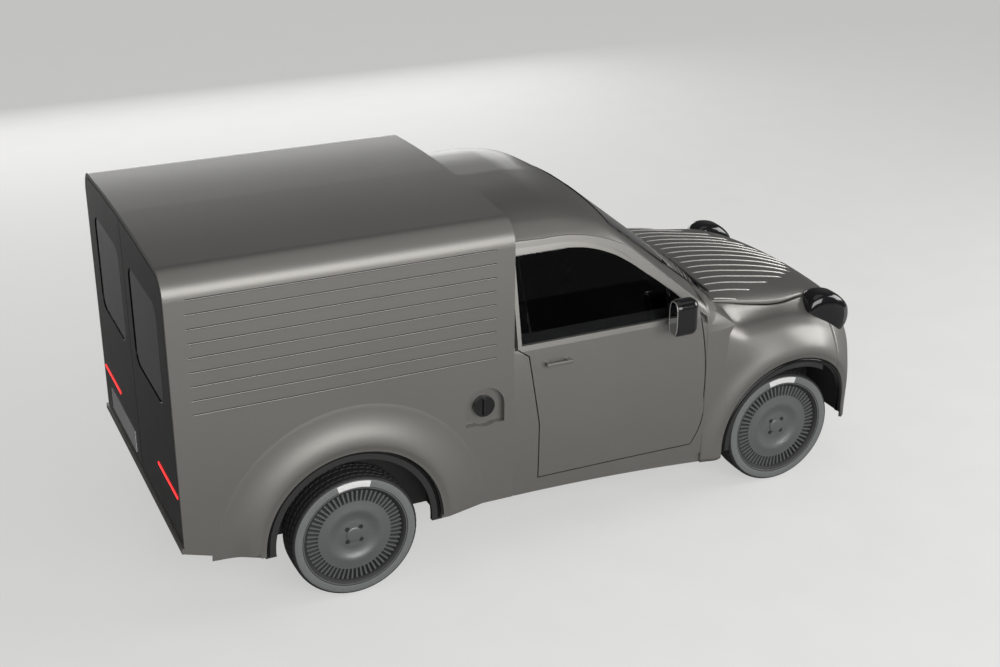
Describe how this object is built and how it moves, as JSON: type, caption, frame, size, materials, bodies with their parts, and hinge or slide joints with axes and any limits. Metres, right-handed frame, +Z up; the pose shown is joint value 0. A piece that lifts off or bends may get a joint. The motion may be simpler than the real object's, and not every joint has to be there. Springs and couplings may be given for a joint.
{
  "type": "panel van",
  "caption": "Compact electric panel van with a curved retro cab, ribbed bonnet, square cargo box, hinged side and rear doors and steered front wheels.",
  "frame": {"origin": "centre of the bounding box in X and Y, on the ground that the tyres stand on", "axes": "+X to the front of the van, +Y to its left side, +Z up"},
  "size_m": [3.802, 1.804, 1.749],
  "materials": {
    "body_paint": "satin metallic warm silver grey",
    "gloss_black": "gloss black",
    "liner_black": "textured black plastic",
    "tinted_glass": "dark tinted glass",
    "tyre_rubber": "black tread with a light grey sidewall ring",
    "wheel_paint": "satin light grey",
    "chassis_metal": "black coated steel",
    "machined_steel": "brushed",
    "cabin_fabric": "woven dark grey",
    "cabin_plastic": "soft grained dark grey",
    "lamp_red": "red light bar",
    "plate_white": "blank light reflective sheet",
    "floor_board": "ribbed dark load floor"
  },
  "bodies": {
    "body": {"cargo_box": "body_paint", "cargo_floor": "floor_board", "chassis_rails": "chassis_metal", "rear_bumper": "body_paint", "charge_cap": "gloss_black", "cab_frame": "body_paint", "cab_floor": "floor_board", "windscreen": "tinted_glass", "nose": "body_paint", "grille": "gloss_black", "fender_left": "body_paint", "fender_right": "body_paint", "headlamp_left": "gloss_black", "headlamp_right": "gloss_black", "wipers": "liner_black", "dashboard": "cabin_plastic", "seat_left": "cabin_fabric", "seat_right": "cabin_fabric", "sill_left": "body_paint", "sill_right": "body_paint", "arch_liner_rear_left": "liner_black", "arch_liner_rear_right": "liner_black", "arch_liner_front_left": "liner_black", "arch_liner_front_right": "liner_black", "rear_axle": "chassis_metal", "front_subframe": "chassis_metal", "drive_motor": "machined_steel", "battery_pack": "chassis_metal"},
    "steering_wheel": {"steering_wheel": "cabin_plastic"},
    "bonnet": {"bonnet": "body_paint"},
    "door_left": {"door_left": "body_paint", "door_glass_left": "tinted_glass", "mirror_left": "gloss_black"},
    "door_right": {"door_right": "body_paint", "door_glass_right": "tinted_glass", "mirror_right": "gloss_black"},
    "rear_door_left": {"rear_door_left": "gloss_black", "rear_glass_left": "tinted_glass", "number_plate": "plate_white", "tail_lamp_left": "lamp_red"},
    "rear_door_right": {"rear_door_right": "gloss_black", "rear_glass_right": "tinted_glass", "tail_lamp_right": "lamp_red"},
    "knuckle_left": {"knuckle_left": "chassis_metal"},
    "knuckle_right": {"knuckle_right": "chassis_metal"},
    "wheel_front_left": {"disc_front_left": "wheel_paint", "tyre_front_left": "tyre_rubber"},
    "wheel_front_right": {"disc_front_right": "wheel_paint", "tyre_front_right": "tyre_rubber"},
    "wheel_rear_left": {"disc_rear_left": "wheel_paint", "tyre_rear_left": "tyre_rubber"},
    "wheel_rear_right": {"disc_rear_right": "wheel_paint", "tyre_rear_right": "tyre_rubber"}
  },
  "joints": [
    {"name": "wheel_rear_left_spin", "type": "hinge", "parent": "body", "child": "wheel_rear_left", "pos_m": [-1.099, 0.702, 0.308], "axis": [0, 1, 0], "continuous": true},
    {"name": "wheel_rear_right_spin", "type": "hinge", "parent": "body", "child": "wheel_rear_right", "pos_m": [-1.099, -0.702, 0.308], "axis": [0, 1, 0], "continuous": true},
    {"name": "wheel_front_left_spin", "type": "hinge", "parent": "knuckle_left", "child": "wheel_front_left", "pos_m": [1.301, 0.597, 0.308], "axis": [0, 1, 0], "continuous": true},
    {"name": "wheel_front_right_spin", "type": "hinge", "parent": "knuckle_right", "child": "wheel_front_right", "pos_m": [1.301, -0.597, 0.308], "axis": [0, 1, 0], "continuous": true},
    {"name": "steer_left", "type": "hinge", "parent": "body", "child": "knuckle_left", "pos_m": [1.301, 0.5, 0.308], "axis": [0, 0, 1], "range_deg": [-30, 30]},
    {"name": "steer_right", "type": "hinge", "parent": "body", "child": "knuckle_right", "pos_m": [1.301, -0.5, 0.308], "axis": [0, 0, 1], "range_deg": [-30, 30]},
    {"name": "steering_wheel_turn", "type": "hinge", "parent": "body", "child": "steering_wheel", "pos_m": [0.491, 0.35, 1.01], "axis": [-0.8448, 0, 0.5351], "range_deg": [-450, 450]},
    {"name": "door_left_hinge", "type": "hinge", "parent": "body", "child": "door_left", "pos_m": [0.757, 0.781, 0.7], "axis": [0, 0, -1], "range_deg": [0, 65]},
    {"name": "door_right_hinge", "type": "hinge", "parent": "body", "child": "door_right", "pos_m": [0.757, -0.781, 0.7], "axis": [0, 0, 1], "range_deg": [0, 65]},
    {"name": "rear_door_left_hinge", "type": "hinge", "parent": "body", "child": "rear_door_left", "pos_m": [-1.889, 0.7505, 1], "axis": [0, 0, -1], "range_deg": [0, 95]},
    {"name": "rear_door_right_hinge", "type": "hinge", "parent": "body", "child": "rear_door_right", "pos_m": [-1.889, -0.7505, 1], "axis": [0, 0, 1], "range_deg": [0, 95]},
    {"name": "bonnet_hinge", "type": "hinge", "parent": "body", "child": "bonnet", "pos_m": [0.886, 0, 1.11], "axis": [0, -1, 0], "range_deg": [0, 50]}
  ],
  "couplings": [
    {"joint": "steer_right", "follows": "steer_left", "ratio": 1}
  ]
}
